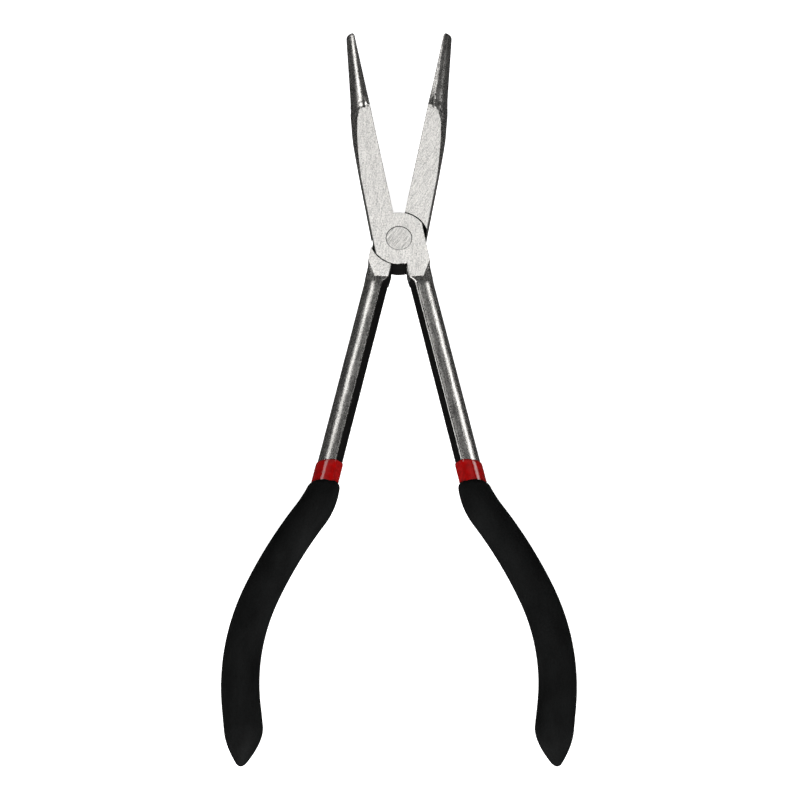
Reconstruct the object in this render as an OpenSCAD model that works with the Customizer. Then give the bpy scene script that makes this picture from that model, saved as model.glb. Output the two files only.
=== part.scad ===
// Long reach needle nose pliers: two alike forged levers lapped on one flush
// rivet, each handle dipped in a thin inner sleeve and covered by an outer grip.
// The pivot axis is Z, the closed jaws point along +Y, and z = 0 is the joint's
// flat back face. The levers are drawn part way open, each turned by rest_turn.

/* [Joint] */
// Thickness of the joint, the flat jaw roots and the handle roots
joint_thick = 9.5; // [7.5:0.1:12]
// Width of each lever across its flat flanks at the joint
joint_w = 17.9; // [15:0.1:22]
// How far the round half-lap disc stands out past the flanks
disc_proud = 0.95; // [0.7:0.05:1.5]
// Radial gap between a disc and the recess it turns in
recess_gap = 0.2; // [0.1:0.05:0.4]
// Gap between the two half-lap faces
lap_gap = 0.06; // [0.02:0.02:0.2]
// Diameter of the pivot rivet
rivet_dia = 8.7; // [6:0.1:11]
// Radial running clearance of the rivet in the rear lever
rivet_fit = 0.04; // [0.02:0.01:0.08]
// Angle that each lever is turned from closed
rest_turn = 11; // [2:0.5:16]

/* [Jaws] */
// Length of a jaw, from the pivot axis to its tip
jaw_len = 84.1; // [70:0.1:110]
// Distance from the pivot axis to where the nose starts to narrow
nose_start = 44; // [36:0.5:50]
// Width of one jaw where the nose starts
nose_w = 8.4; // [7:0.1:9]
// Width of one jaw at its rounded tip
tip_w = 2.9; // [2:0.05:4]
// Height of one jaw at its tip
tip_h = 5.2; // [4:0.1:6.5]
// Distance from the pivot axis to where the nose is as high as the joint
flat_len = 53; // [49:0.5:60]
// Distance from the pivot axis to where the nose's round side dies out
merge_len = 26; // [20:0.5:32]
// Gap between the two gripping faces when the jaws are closed
jaw_gap = 0.06; // [0.04:0.02:0.3]
// Length of the cross serrations, measured back from the tip
teeth_len = 64; // [10:1:68]
// Distance from one serration to the next
tooth_pitch = 1.1; // [0.8:0.1:3]
// Depth of a serration
tooth_depth = 0.35; // [0.1:0.05:0.6]

/* [Handles] */
// Distance from the pivot axis to the end of the ground flat on the root
root_len = 15.3; // [13:0.1:22]
// Distance from the closed gripping plane to the root's inner side
root_inset = 0.8; // [0.5:0.1:2]
// Width of the shank
shank_w = 8.25; // [6:0.05:9]
// Height of the shank
shank_h = 8.4; // [6:0.1:9]
// Distance from the gripping plane to the shank's centre where it starts
shank_inset = 4.9; // [4.2:0.1:6]
// Distance from the pivot axis to where the straight shank starts
shank_start = 20; // [18:0.5:26]
// Angle that the closed shank leans outwards
shank_lean = 2.1; // [0:0.1:4]
// Length of the straight shank
shank_len = 75; // [50:1:110]
// Length of the first bend, outwards
bend_out_len = 10; // [8:1:16]
// Angle of the first bend, outwards
bend_out_turn = 22.5; // [14:0.5:28]
// Length of the long bow, inwards
bow_len = 33; // [24:1:40]
// Angle of the long bow, inwards
bow_turn = 12; // [4:1:16]
// Length of the lower bend, inwards
bend_in_len = 40; // [34:1:52]
// Angle of the lower bend, inwards
bend_in_turn = 30; // [24:1:38]

/* [Sleeves and grips] */
// Thickness of the inner sleeve on the handle
sleeve_wall = 0.4; // [0.3:0.05:0.8]
// Length of straight shank between the grip's top and the first bend
grip_lead = 2.1; // [1.5:0.1:8]
// Length of sleeve that shows above the grip
collar_len = 7.5; // [4:0.5:14]
// Width and height of the grip just below its rolled top edge
grip_top_w = 11; // [10:0.1:14]
// Width and height of the grip at its thickest
grip_w = 13; // [11:0.1:15]
// Length of the straight end of the grip, before its point
grip_tail = 8; // [4:0.5:20]
// Length of the grip's blunt point
grip_point = 12.5; // [10:0.5:20]
// Distance that the point leans outwards at its end
point_shift = 2; // [0:0.1:3]
// Distance that the handle stops short of the grip's end
tang_short = 14; // [11:0.5:24]
// Clear length between the handle's end and the sleeve's closed end
sleeve_end = 1.2; // [0.8:0.1:3]

/* [Hidden] */

$fn = 96;
eps = 0.01;
steel = [0.72, 0.71, 0.69];
rivet_steel = [0.8, 0.79, 0.76];
red_vinyl = [0.6, 0.02, 0.02];
black_foam = [0.09, 0.09, 0.09];

mid_z = joint_thick / 2;
flank = joint_w / 2;
disc_r = flank + disc_proud;
recess_r = disc_r + recess_gap;
rivet_r = rivet_dia / 2;

// The width of a jaw is the lesser of two straight tapers, blended where they cross.
blend_w = 0.42;
function flank_taper(y) = flank - (flank - nose_w) * y / nose_start;
function nose_taper(y) = tip_w + (nose_w - tip_w) * (jaw_len - y) / (jaw_len - nose_start);
function soft_min(a, b, k) = (a + b - sqrt((a - b) * (a - b) + k * k)) / 2;
function jaw_width(y) = soft_min(flank_taper(y), nose_taper(y), blend_w);
outline_step = 4;
tip_r = nose_taper(jaw_len - tip_w / 2) / 2;
tip_centre_y = jaw_len - tip_r;

// The nose is round about a leaning line, so that its front rises to the flat.
nose_axis_tip = (nose_taper(jaw_len) * nose_taper(jaw_len) - tip_h * tip_h / 4)
    / (2 * nose_taper(jaw_len));
nose_axis_flat = (jaw_width(flat_len) * jaw_width(flat_len) - mid_z * mid_z)
    / (2 * jaw_width(flat_len));
nose_lean = atan2(nose_axis_flat - nose_axis_tip, jaw_len - flat_len);
nose_r_tip = nose_taper(jaw_len) - nose_axis_tip;
nose_r_flat = jaw_width(flat_len) - nose_axis_flat;
shoulder_len = 5;
shoulder_swell = 0.8;
shoulder_y = flat_len - shoulder_len;
shoulder_r = nose_r_flat + shoulder_swell;
merge_axis = nose_axis_tip + (jaw_len - merge_len) * tan(nose_lean);
merge_r = norm([flank_taper(merge_len) - merge_axis, mid_z]);
blank_y = merge_len - shoulder_len;
nose_end = 0.55;
blank_r = 2 * flank + joint_thick;

// The handle's centre line: headings in degrees from -Y, turned evenly over each bend.
path_step = 3;
bend_1 = shank_len;
bow_1 = bend_1 + bend_out_len;
bend_2 = bow_1 + bow_len;
path_end = bend_2 + bend_in_len;
grip_start = shank_len - grip_lead;
sleeve_start = grip_start - collar_len;
point_start = path_end + grip_tail;
grip_end = point_start + grip_point;
tang_end = grip_end - tang_short;
function part_of(s, from, length) = max(0, min(1, (s - from) / length));
function heading(s) = shank_lean + bend_out_turn * part_of(s, bend_1, bend_out_len)
    - bow_turn * part_of(s, bow_1, bow_len)
    - bend_in_turn * part_of(s, bend_2, bend_in_len);
function step_on(p, s, ds) = [p[0] + ds * sin(heading(s + ds / 2)), p[1] - ds * cos(heading(s + ds / 2))];
function walk(stations, i, p) = i >= len(stations) - 1 ? [p]
    : concat([p], walk(stations, i + 1, step_on(p, stations[i], stations[i + 1] - stations[i])));

// One set of stations serves the handle, its sleeve and its grip, so that they nest.
bend_count = ceil((path_end - bend_1) / path_step);
bend_stations = [for (i = [0 : bend_count]) bend_1 + i * (path_end - bend_1) / bend_count];
least_step = 0.4;
function stations_between(from, to) = concat(
    [from],
    [for (s = bend_stations) if (s > from + least_step && s < to - least_step) s],
    [to]);
function centre_at(s) = s <= bend_1
    ? [shank_inset + s * sin(shank_lean), -shank_start - s * cos(shank_lean)]
    : walk_to(s);
function walk_to(s) = let (stops = stations_between(bend_1, s),
    points = walk(stops, 0, centre_at(bend_1))) points[len(points) - 1];

// Cross-sections, as [outwards, up] from the centre line, all with the same point count.
ridge = 0.53;
outer_points = 14;
section_lean = 0.15;
inner_flat = 0.12;
ridge_turn = acos((section_lean - ridge) / (1 + section_lean));
function bar_section(half_w, half_h) = concat(
    [[-half_w, -inner_flat * half_h]],
    [for (i = [0 : outer_points])
        let (a = -ridge_turn + 2 * ridge_turn * i / outer_points)
        [half_w * ((1 + section_lean) * cos(a) - section_lean), half_h * sin(a)]],
    [[-half_w, inner_flat * half_h]]);
round_reach = 160;
seam_turn = 174;
function round_section(half_w, half_h) = concat(
    [[half_w * cos(seam_turn), -half_h * sin(seam_turn)]],
    [for (i = [0 : outer_points])
        let (a = -round_reach + 2 * round_reach * i / outer_points)
        [half_w * cos(a), half_h * sin(a)]],
    [[half_w * cos(seam_turn), half_h * sin(seam_turn)]]);

// Places a section on the centre line; skew tilts its plane along the handle.
function placed(section, s, skew) = let (c = centre_at(s), h = heading(s), t = tan(skew))
    [for (p = section) [
        c[0] + p[0] * (cos(h) + t * sin(h)),
        c[1] + p[0] * (sin(h) - t * cos(h)),
        mid_z + p[1]]];

per_ring = outer_points + 3;
function wall_faces(rings, first, flip) = [for (r = [0 : rings - 2]) for (i = [0 : per_ring - 1])
    let (a = first + r * per_ring + i,
        b = first + r * per_ring + (i + 1) % per_ring,
        c = b + per_ring,
        d = a + per_ring)
    each flip ? [[a, c, b], [a, d, c]] : [[a, b, c], [a, c, d]]];
function cap(first, flip) = [for (i = [1 : per_ring - 2])
    flip ? [first, first + i + 1, first + i] : [first, first + i, first + i + 1]];

// A solid through a list of placed rings.
module swept(rings) {
    count = len(rings);
    polyhedron(
        points = [for (ring = rings) each ring],
        faces = concat(
            cap(0, false),
            wall_faces(count, 0, true),
            cap((count - 1) * per_ring, true)));
}

// A shell open at its first ring and closed at its last.
module swept_shell(outer, inner) {
    last = len(outer) * per_ring;
    polyhedron(
        points = concat([for (ring = outer) each ring], [for (ring = inner) each ring]),
        faces = concat(
            wall_faces(len(outer), 0, true),
            cap((len(outer) - 1) * per_ring, true),
            wall_faces(len(inner), last, false),
            cap(last + (len(inner) - 1) * per_ring, false),
            [for (i = [0 : per_ring - 1]) let (j = (i + 1) % per_ring)
                each [[i, j, last + j], [i, last + j, last + i]]]));
}

// Sizes of the shank, the sleeve on it and the grip, along the handle.
shank_half_w = shank_w / 2;
shank_half_h = shank_h / 2;
dip_skew = rest_turn + shank_lean;
sleeve_half_w = shank_half_w + sleeve_wall;
sleeve_half_h = shank_half_h + sleeve_wall;
grip_roll = 2.5;
grip_swell = 8;
swell_share = 0.4;
point_rings = 5;
point_slim = 0.84;
point_power = 1.7;
shift_power = 1.5;
lip_height = 0.5;
function grip_half(s) = let (
        swell = part_of(s, grip_start + grip_roll, grip_swell),
        belly = part_of(s, grip_start + grip_roll, point_start - grip_start - grip_roll),
        point = part_of(s, point_start, grip_point))
    (grip_top_w / 2 + (grip_w - grip_top_w) / 2
        * (swell_share * sin(90 * swell) + (1 - swell_share) * belly))
    * (1 - point_slim * pow(point, point_power));
function grip_section(s) = let (
        half = grip_half(s),
        shift = point_shift * pow(part_of(s, point_start, grip_point), shift_power))
    [for (p = round_section(half, half)) [p[0] + shift, p[1]]];
grip_lip = sleeve_half_w + lip_height;

module jaw_outline() {
    difference() {
        union() {
            polygon(concat(
                [[0, 0], [0, tip_centre_y], [-2 * tip_r, tip_centre_y]],
                [for (y = [tip_centre_y - outline_step : -outline_step : 0]) [-jaw_width(y), y]],
                [[-flank, 0]]));
            translate([-tip_r, tip_centre_y]) circle(r = tip_r);
        }
        translate([-jaw_gap / 2, -eps]) square([tip_w, jaw_len + 2 * eps]);
        serrations();
    }
}

// A comb of V grooves across the gripping face.
module serrations() {
    teeth = floor(teeth_len / tooth_pitch);
    for (i = [1 : teeth])
        translate([-jaw_gap / 2, jaw_len - i * tooth_pitch])
            polygon([[-tooth_depth, 0], [eps, tooth_depth], [eps, -tooth_depth]]);
}

module jaw() {
    intersection() {
        linear_extrude(joint_thick) jaw_outline();
        translate([-nose_axis_tip, jaw_len, mid_z])
            rotate([90, 0, 0])
                rotate([0, -nose_lean, 0])
                    rotate_extrude()
                        polygon([
                            [0, -1],
                            [nose_end * nose_r_tip, 0],
                            [nose_r_tip, tip_h / 4],
                            [nose_r_flat, jaw_len - flat_len],
                            [shoulder_r, jaw_len - shoulder_y],
                            [merge_r, jaw_len - merge_len],
                            [blank_r, jaw_len - blank_y],
                            [blank_r, jaw_len],
                            [0, jaw_len]]);
    }
}

module half_disc() {
    intersection() {
        cylinder(r = disc_r, h = joint_thick);
        translate([-flank, -2 * disc_r, 0])
            cube([joint_w, 4 * disc_r, joint_thick]);
    }
}

module handle_root() {
    corner_w = 3.2;
    corner_len = 5;
    linear_extrude(joint_thick)
        polygon([
            [root_inset, 0],
            [root_inset, -root_len],
            [flank - corner_w, -root_len],
            [flank, -root_len + corner_len],
            [flank, 0]]);
}

module handle_bar() {
    neck_bite = 1;
    neck_slim = 0.97;
    neck = root_len - shank_start - neck_bite;
    stations = concat([0], stations_between(sleeve_start, tang_end));
    swept(concat(
        [placed(bar_section(neck_slim * shank_half_w, shank_half_h), neck, 0)],
        [for (s = stations) placed(bar_section(shank_half_w, shank_half_h), s, 0)]));
}

// The right-hand handle, the half disc and the left jaw, closed; the front half is kept.
module lever() {
    difference() {
        union() {
            jaw();
            half_disc();
            handle_root();
            handle_bar();
        }
        translate([0, 0, -joint_thick])
            cylinder(r = recess_r, h = joint_thick + mid_z + lap_gap / 2);
    }
}

module turned_over() {
    translate([0, 0, mid_z]) rotate([0, 180, 0]) translate([0, 0, -mid_z]) children();
}

module front_lever() {
    color(steel)
        rotate([0, 0, rest_turn])
            difference() {
                lever();
                translate([0, 0, -joint_thick]) cylinder(r = rivet_r, h = 3 * joint_thick);
            }
}

module rear_lever() {
    color(steel)
        rotate([0, 0, -rest_turn])
            turned_over()
                difference() {
                    lever();
                    translate([0, 0, -joint_thick]) cylinder(r = rivet_r + rivet_fit, h = 3 * joint_thick);
                }
}

module pivot_rivet() {
    color(rivet_steel) cylinder(r = rivet_r, h = joint_thick);
}

module inner_sleeve() {
    sleeve_stop = tang_end + sleeve_end;
    outer = concat(
        [placed(bar_section(sleeve_half_w, sleeve_half_h), sleeve_start, dip_skew)],
        [for (s = stations_between(grip_start, sleeve_stop))
            placed(bar_section(sleeve_half_w, sleeve_half_h), s, s == grip_start ? dip_skew : 0)]);
    inner = concat(
        [placed(bar_section(shank_half_w, shank_half_h), sleeve_start, dip_skew)],
        [for (s = stations_between(grip_start, tang_end))
            placed(bar_section(shank_half_w, shank_half_h), s, s == grip_start ? dip_skew : 0)]);
    swept_shell(outer, inner);
}

module outer_grip() {
    sleeve_stop = tang_end + sleeve_end;
    outer = concat(
        [placed(round_section(grip_lip, grip_lip), grip_start, dip_skew)],
        [for (s = stations_between(grip_start + grip_roll, point_start))
            placed(grip_section(s), s, 0)],
        [for (i = [1 : point_rings]) let (s = point_start + grip_point * i / point_rings)
            placed(grip_section(s), s, 0)]);
    inner = [for (s = stations_between(grip_start, sleeve_stop))
        placed(bar_section(sleeve_half_w, sleeve_half_h), s, s == grip_start ? dip_skew : 0)];
    swept_shell(outer, inner);
}

module right_inner_sleeve() {
    color(red_vinyl) rotate([0, 0, rest_turn]) inner_sleeve();
}

module left_inner_sleeve() {
    color(red_vinyl) rotate([0, 0, -rest_turn]) turned_over() inner_sleeve();
}

module right_grip() {
    color(black_foam) rotate([0, 0, rest_turn]) outer_grip();
}

module left_grip() {
    color(black_foam) rotate([0, 0, -rest_turn]) turned_over() outer_grip();
}

front_lever();
rear_lever();
pivot_rivet();
right_inner_sleeve();
left_inner_sleeve();
right_grip();
left_grip();
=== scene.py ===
import math

import bmesh
import bpy
from bpy.props import FloatProperty, FloatVectorProperty, IntProperty, PointerProperty
from bpy.types import Operator, Panel, PropertyGroup
from mathutils import Matrix, Vector, noise


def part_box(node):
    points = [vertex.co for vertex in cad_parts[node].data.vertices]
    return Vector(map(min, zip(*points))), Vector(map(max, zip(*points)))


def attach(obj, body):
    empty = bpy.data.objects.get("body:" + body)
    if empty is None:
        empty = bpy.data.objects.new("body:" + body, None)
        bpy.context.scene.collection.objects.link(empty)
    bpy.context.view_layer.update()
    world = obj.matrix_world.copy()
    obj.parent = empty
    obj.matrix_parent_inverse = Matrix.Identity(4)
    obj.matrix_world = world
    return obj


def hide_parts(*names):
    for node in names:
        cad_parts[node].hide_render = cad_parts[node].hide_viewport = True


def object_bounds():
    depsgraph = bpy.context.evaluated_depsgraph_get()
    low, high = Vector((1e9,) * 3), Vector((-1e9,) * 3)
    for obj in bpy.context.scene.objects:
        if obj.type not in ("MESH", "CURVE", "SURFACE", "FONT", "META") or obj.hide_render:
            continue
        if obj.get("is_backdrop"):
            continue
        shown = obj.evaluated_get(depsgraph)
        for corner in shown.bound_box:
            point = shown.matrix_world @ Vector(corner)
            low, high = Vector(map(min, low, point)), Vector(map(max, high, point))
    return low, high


bl_info = {
    "name": "Needle nose pliers",
    "version": (1, 0, 0),
    "blender": (4, 5, 0),
    "location": "View3D > Sidebar > Pliers",
    "description": "Builds the steel levers, rivet, dipped sleeves and foam grips on the packed frame",
    "category": "Object",
}

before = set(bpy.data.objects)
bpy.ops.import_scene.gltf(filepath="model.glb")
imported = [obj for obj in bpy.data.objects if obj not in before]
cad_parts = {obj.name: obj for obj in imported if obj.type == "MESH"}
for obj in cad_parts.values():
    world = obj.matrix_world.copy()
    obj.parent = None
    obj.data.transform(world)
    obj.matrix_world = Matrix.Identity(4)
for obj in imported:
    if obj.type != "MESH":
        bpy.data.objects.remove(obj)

# Lengths are millimetres and angles are degrees until a piece is finished in metres.
MM = 0.001


def size_of(node):
    """Lowest and highest corner of a CAD node, in millimetres."""
    low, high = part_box(node)
    return low / MM, high / MM


# The joint
RIVET_LOW, RIVET_HIGH = size_of("pivot_rivet")
THICK = RIVET_HIGH.z - RIVET_LOW.z
MID = THICK / 2
RIVET_R = (RIVET_HIGH.x - RIVET_LOW.x) / 2
FLANK = 8.95
DISC_R = 9.9
RECESS_R = 10.1
LAP_GAP = 0.06
RIVET_GROOVE = 0.22
PRESS_FIT = 0.005
TURNING_FIT = 0.04
REST_TURN = 11

# The jaws
JAW_LEN = 84.1
NOSE_START = 44
NOSE_W = 8.4
TIP_W = 2.9
TIP_H = 5.2
FLAT_LEN = 53
MERGE_LEN = 26
BLANK_LEN = 21
JAW_GAP = 0.06
TAPER_BLEND = 0.42
TEETH_LEN = 64
SCUFF_REACH = 4
NOSE_SLOPE = 0.26

# The handles
ROOT_LEN = 15.3
ROOT_CORNER_W = 3.2
ROOT_CORNER_LEN = 5
ROOT_INSET = 0.8
ROOT_RISE = 4.6
SHANK_HALF_W = 4.125
SHANK_HALF_H = 4.2
SHANK_INSET = 4.9
SHANK_START = 20
SHANK_LEAN = 2.1
BEND_1 = 75
BOW_1 = 85
BEND_2 = 118
PATH_END = 158
PATH_STEP = 0.5
BEND_OUT_TURN = 22.5
BOW_TURN = 12
BEND_IN_TURN = 30

# The sleeves and grips
SLEEVE_WALL = 0.4
SLEEVE_START = 65.4
GRIP_START = 72.9
POINT_START = 166
GRIP_END = 178.5
TANG_END = 164.5
SLEEVE_END = 165.7
DIP_SKEW = REST_TURN + SHANK_LEAN
GRIP_ROLL = 2.5
GRIP_SWELL = 8.0
GRIP_END_ROUND = 1.0

# Each handle's side, the body that it rides on and whether that is the front lever's
HANDLES = (("right", "front", True), ("left", "rear", False))

# Cross-section of the handle bar; the ridges are shares of the half width, inwards
SECTION_LEAN = 0.15
RIDGE = 0.53
ROOT_RIDGE = 0.97
INNER_FLAT = 0.12
CORNER_REACH = 0.42
ROOT_STEP = 0.1

# Distances past the ridge, inwards, at which a finish begins; the pale ground strip along the front
# lever's ridge, up to its black scale, is a painted highlight
FRONT_SCALE = 0.42
REAR_SCALE = -0.05
FRONT_PAINTED_HIGHLIGHT = -0.12


# Shapes: rules in the plane of the levers

def share(value, start, length):
    """How far a value is through a stretch, from 0 to 1."""
    return max(0.0, min(1.0, (value - start) / length))


def smooth(amount):
    """Eases a share in and out."""
    return amount * amount * (3 - 2 * amount)


def wobble(x, y, z, seed):
    """Smooth unevenness from -1 to 1, the same on every run."""
    apart = 17.3
    return noise.noise(Vector((x, y, z + apart * seed)))


def side_turn(front):
    """Turn from the closed place to the half-open one, in degrees."""
    return REST_TURN if front else -REST_TURN


def ridge_at(s):
    """How far inwards the bar's ridge lies, as a share of the half width; in the root, nearly all."""
    return RIDGE + (ROOT_RIDGE - RIDGE) * smooth(share(-s, 2.6, 3))


def flank_taper(y):
    return FLANK - (FLANK - NOSE_W) * y / NOSE_START


def nose_taper(y):
    return TIP_W + (NOSE_W - TIP_W) * (JAW_LEN - y) / (JAW_LEN - NOSE_START)


def jaw_width(y):
    a, b = flank_taper(y), nose_taper(y)
    return (a + b - math.hypot(a - b, TAPER_BLEND)) / 2


def heading(s):
    """Direction of the closed handle, in degrees from -Y towards +X."""
    out = BEND_OUT_TURN * share(s, BEND_1, BOW_1 - BEND_1)
    bow = BOW_TURN * share(s, BOW_1, BEND_2 - BOW_1)
    back = BEND_IN_TURN * share(s, BEND_2, PATH_END - BEND_2)
    return SHANK_LEAN + out - bow - back


def centre_at(s):
    """Point of the closed handle's centre line at a distance along it."""
    straight = min(s, BEND_1)
    lean = math.radians(SHANK_LEAN)
    x = SHANK_INSET + straight * math.sin(lean)
    y = -SHANK_START - straight * math.cos(lean)
    steps = max(0, math.ceil((s - BEND_1) / PATH_STEP))
    for i in range(steps):
        length = (s - BEND_1) / steps
        turn = math.radians(heading(BEND_1 + (i + 0.5) * length))
        x += length * math.sin(turn)
        y -= length * math.cos(turn)
    return Vector((x, y))


def placed(section, s, skew=0.0):
    """Puts a section of (outwards, up) points on the centre line, its plane tilted by skew."""
    centre, turn = centre_at(s), math.radians(heading(s))
    across = Vector((math.cos(turn), math.sin(turn)))
    along = Vector((math.sin(turn), -math.cos(turn)))
    tilt = math.tan(math.radians(skew))
    ring = []
    for outwards, up in section:
        point = centre + outwards * (across + tilt * along)
        ring.append(Vector((point.x, point.y, MID + up)))
    return ring


def bar_section(half_w, half_h, ridge=RIDGE, fullness=1.0):
    """A rounded bar with two flat facets on its inner side; less than 1 makes it boxier."""
    turn = math.acos((SECTION_LEAN - ridge) / (1 + SECTION_LEAN))
    points = [Vector((-half_w, -INNER_FLAT * half_h))]
    count = 26
    for i in range(count + 1):
        a = -turn + 2 * turn * i / count
        x = half_w * ((1 + SECTION_LEAN) * math.cos(a) - SECTION_LEAN)
        rise = math.copysign(abs(math.sin(a)) ** fullness, a)
        points.append(Vector((x, half_h * rise)))
    points.append(Vector((-half_w, INNER_FLAT * half_h)))
    return soften(points, (0, 1, count + 1, count + 2), CORNER_REACH)


def soften(points, corners, reach):
    """Replaces corners of a closed outline with short curves."""
    made = []
    for i, point in enumerate(points):
        if i not in corners:
            made.append(point)
            continue
        before, after = points[i - 1] - point, points[(i + 1) % len(points)] - point
        start = point + before * min(0.5, reach / before.length)
        end = point + after * min(0.5, reach / after.length)
        made += [start, (start + 2 * point + end) / 4, end]
    return made


def arc(radius, start, end, steps):
    """Points round the pivot, with angles in degrees."""
    angles = [math.radians(start + (end - start) * i / steps) for i in range(steps + 1)]
    return [Vector((radius * math.cos(a), radius * math.sin(a))) for a in angles]


def lever_outline():
    """The closed lever seen from the front, anticlockwise: left jaw, half disc and right root."""
    grip_x = -JAW_GAP / 2
    clip = math.degrees(math.acos(FLANK / DISC_R))
    jaw_side = math.degrees(math.acos(grip_x / DISC_R))
    root_side = -math.degrees(math.acos(ROOT_INSET / DISC_R))
    tip_r = nose_taper(JAW_LEN - TIP_W / 2) / 2
    tip_y = JAW_LEN - tip_r
    points = arc(DISC_R, clip, jaw_side, 28)
    points += [Vector((grip_x, y)) for y in (30, 50, 70)]
    points += [Vector((grip_x - tip_r + p.x, tip_y + p.y)) for p in arc(tip_r, 0, 180, 24)]
    steps, spare = 40, 0.4
    for i in range(1, steps + 1):
        y = tip_y * (1 - i / steps)
        margin = spare * smooth(share(y, FLAT_LEN - 4, 10)) * (1 - smooth(share(y, JAW_LEN - 10, 6)))
        points.append(Vector((-jaw_width(y) - margin, y)))
    points += arc(DISC_R, 180 + clip, 360 + root_side, 28)
    slant = 0.3
    inner = Vector((ROOT_INSET, slant - ROOT_LEN))
    outer = Vector((FLANK - ROOT_CORNER_W, -ROOT_LEN - slant))
    side = Vector((FLANK, ROOT_CORNER_LEN - ROOT_LEN))
    return points + ragged(inner, outer) + ragged(outer, side) + [side]


def ragged(start, end):
    """Points from start up to end along an uneven line."""
    spacing, height, width = 0.35, 0.16, 0.8
    steps = round((end - start).length / spacing)
    made = [start]
    for i in range(1, steps):
        point = start.lerp(end, i / steps)
        point.y += height * wobble(point.x / width, point.y / width, 2, 4)
        made.append(point)
    return made


def inset(outline, distance):
    """The outline moved inwards by a small distance."""
    made = []
    for i, point in enumerate(outline):
        before = (point - outline[i - 1]).normalized()
        after = (outline[(i + 1) % len(outline)] - point).normalized()
        a, b = Vector((-before.y, before.x)), Vector((-after.y, after.x))
        made.append(point + (a + b) * distance / max(0.6, 1 + a.dot(b)))
    return made


# Meshes

GROUND, POLISHED, SCALED = 0, 1, 2


def loft(rings, wall=POLISHED, caps=POLISHED):
    """A closed mesh through rings that all have the same number of points."""
    count = len(rings[0])
    vertices = [tuple(point) for ring in rings for point in ring]
    faces = []
    for r in range(len(rings) - 1):
        for i in range(count):
            j = (i + 1) % count
            faces.append((r * count + i, r * count + j, (r + 1) * count + j, (r + 1) * count + i))
    walls = len(faces)
    last = (len(rings) - 1) * count
    faces.append(tuple(range(count))[::-1])
    faces.append(tuple(range(last, last + count)))
    mesh = bpy.data.meshes.new("loft")
    mesh.from_pydata(vertices, [], faces)
    for i, polygon in enumerate(mesh.polygons):
        polygon.material_index = wall if i < walls else caps
    return outward(mesh)


def outward(mesh, weld=True):
    """Turns the faces of one closed surface outwards, with its doubled points welded first."""
    made = bmesh.new()
    made.from_mesh(mesh)
    if weld:
        bmesh.ops.remove_doubles(made, verts=made.verts, dist=1e-6)
    bmesh.ops.recalc_face_normals(made, faces=made.faces)
    made.to_mesh(mesh)
    made.free()
    return mesh


def turned(profile, finish, steps=128):
    """A solid turned about the pivot axis, from (radius, height) points."""
    angles = [2 * math.pi * i / steps for i in range(steps)]
    rings = []
    for radius, z in profile:
        rings.append([Vector((radius * math.cos(a), radius * math.sin(a), z)) for a in angles])
    return loft(rings, finish, finish)


def linked(name, data):
    made = bpy.data.objects.new(name, data)
    bpy.context.scene.collection.objects.link(made)
    return made


def evaluated_mesh(thing):
    """The object's mesh with its modifiers applied."""
    bpy.context.view_layer.update()
    graph = bpy.context.evaluated_depsgraph_get()
    return bpy.data.meshes.new_from_object(
        thing.evaluated_get(graph), preserve_all_data_layers=True, depsgraph=graph)


def dressed(mesh, slots):
    """Gives a mesh its materials, and keeps the one that each face was given."""
    kept = [polygon.material_index for polygon in mesh.polygons]
    mesh.materials.clear()
    for material in slots:
        mesh.materials.append(material)
    for polygon, index in zip(mesh.polygons, kept):
        polygon.material_index = index
    return mesh


def combined(mesh, other, operation, slots):
    """Joins, cuts or intersects two closed meshes, and keeps each face's material."""
    for data in (mesh, other):
        dressed(data, slots)
    body, tool = linked("body", mesh), linked("tool", other)
    modifier = body.modifiers.new("combine", "BOOLEAN")
    modifier.object = tool
    modifier.operation = operation
    modifier.solver = "MANIFOLD"
    made = evaluated_mesh(body)
    for thing in (body, tool):
        bpy.data.objects.remove(thing)
    if not made.polygons:
        raise RuntimeError(f"{operation} left nothing")
    return made


def finished(name, mesh, slots, body, node, crease=32):
    """Makes a finished piece in metres, smooth up to the crease angle, and fixes it to the frame."""
    mesh.transform(Matrix.Scale(MM, 4))
    dressed(mesh, slots)
    mesh.shade_smooth()
    mesh.set_sharp_from_angle(angle=math.radians(crease))
    piece = linked(name, mesh)
    modifier = piece.modifiers.new("normals", "WEIGHTED_NORMAL")
    modifier.keep_sharp = True
    flat = evaluated_mesh(piece)
    piece.modifiers.clear()
    piece.data = flat
    flat.name = name
    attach(piece, body)
    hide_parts(node)
    return piece


def rear_side(mesh):
    """Turns a front lever's mesh over, so that it becomes the rear lever's."""
    lift = Matrix.Translation((0, 0, MID))
    mesh.transform(lift @ Matrix.Rotation(math.pi, 4, "Y") @ lift.inverted())


def opened(mesh, front):
    """Turns a closed mesh to its place in the half-open pliers."""
    if not front:
        rear_side(mesh)
    mesh.transform(Matrix.Rotation(math.radians(side_turn(front)), 4, "Z"))
    return mesh


# Node trees: numbers with Python's arithmetic, and one way to add any other node

class Number:
    """A number that flows through a node tree."""

    def __init__(self, tree, socket):
        self.tree, self.socket = tree, socket

    def math(self, operation, *values):
        node = self.tree.nodes.new("ShaderNodeMath")
        node.operation = operation
        for slot, value in zip(node.inputs, values):
            join(self.tree, slot, value)
        return Number(self.tree, node.outputs[0])

    def __add__(self, other):
        return self.math("ADD", self, other)

    def __sub__(self, other):
        return self.math("SUBTRACT", self, other)

    def __mul__(self, other):
        return self.math("MULTIPLY", self, other)

    def __truediv__(self, other):
        return self.math("DIVIDE", self, other)

    def __pow__(self, other):
        return self.math("POWER", self, other)

    def __rsub__(self, other):
        return self.math("SUBTRACT", other, self)

    __radd__ = __add__
    __rmul__ = __mul__

    def clamped(self):
        return self.math("MINIMUM", self.math("MAXIMUM", self, 0.0), 1.0)

    def between(self, low, high):
        """0 up to low, 1 from high, and a straight rise between them."""
        return ((self - low) / (high - low)).clamped()

    def root(self):
        return self.math("SQRT", self.math("MAXIMUM", self, 0.0))

    def sine(self):
        return self.math("SINE", self)


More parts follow.
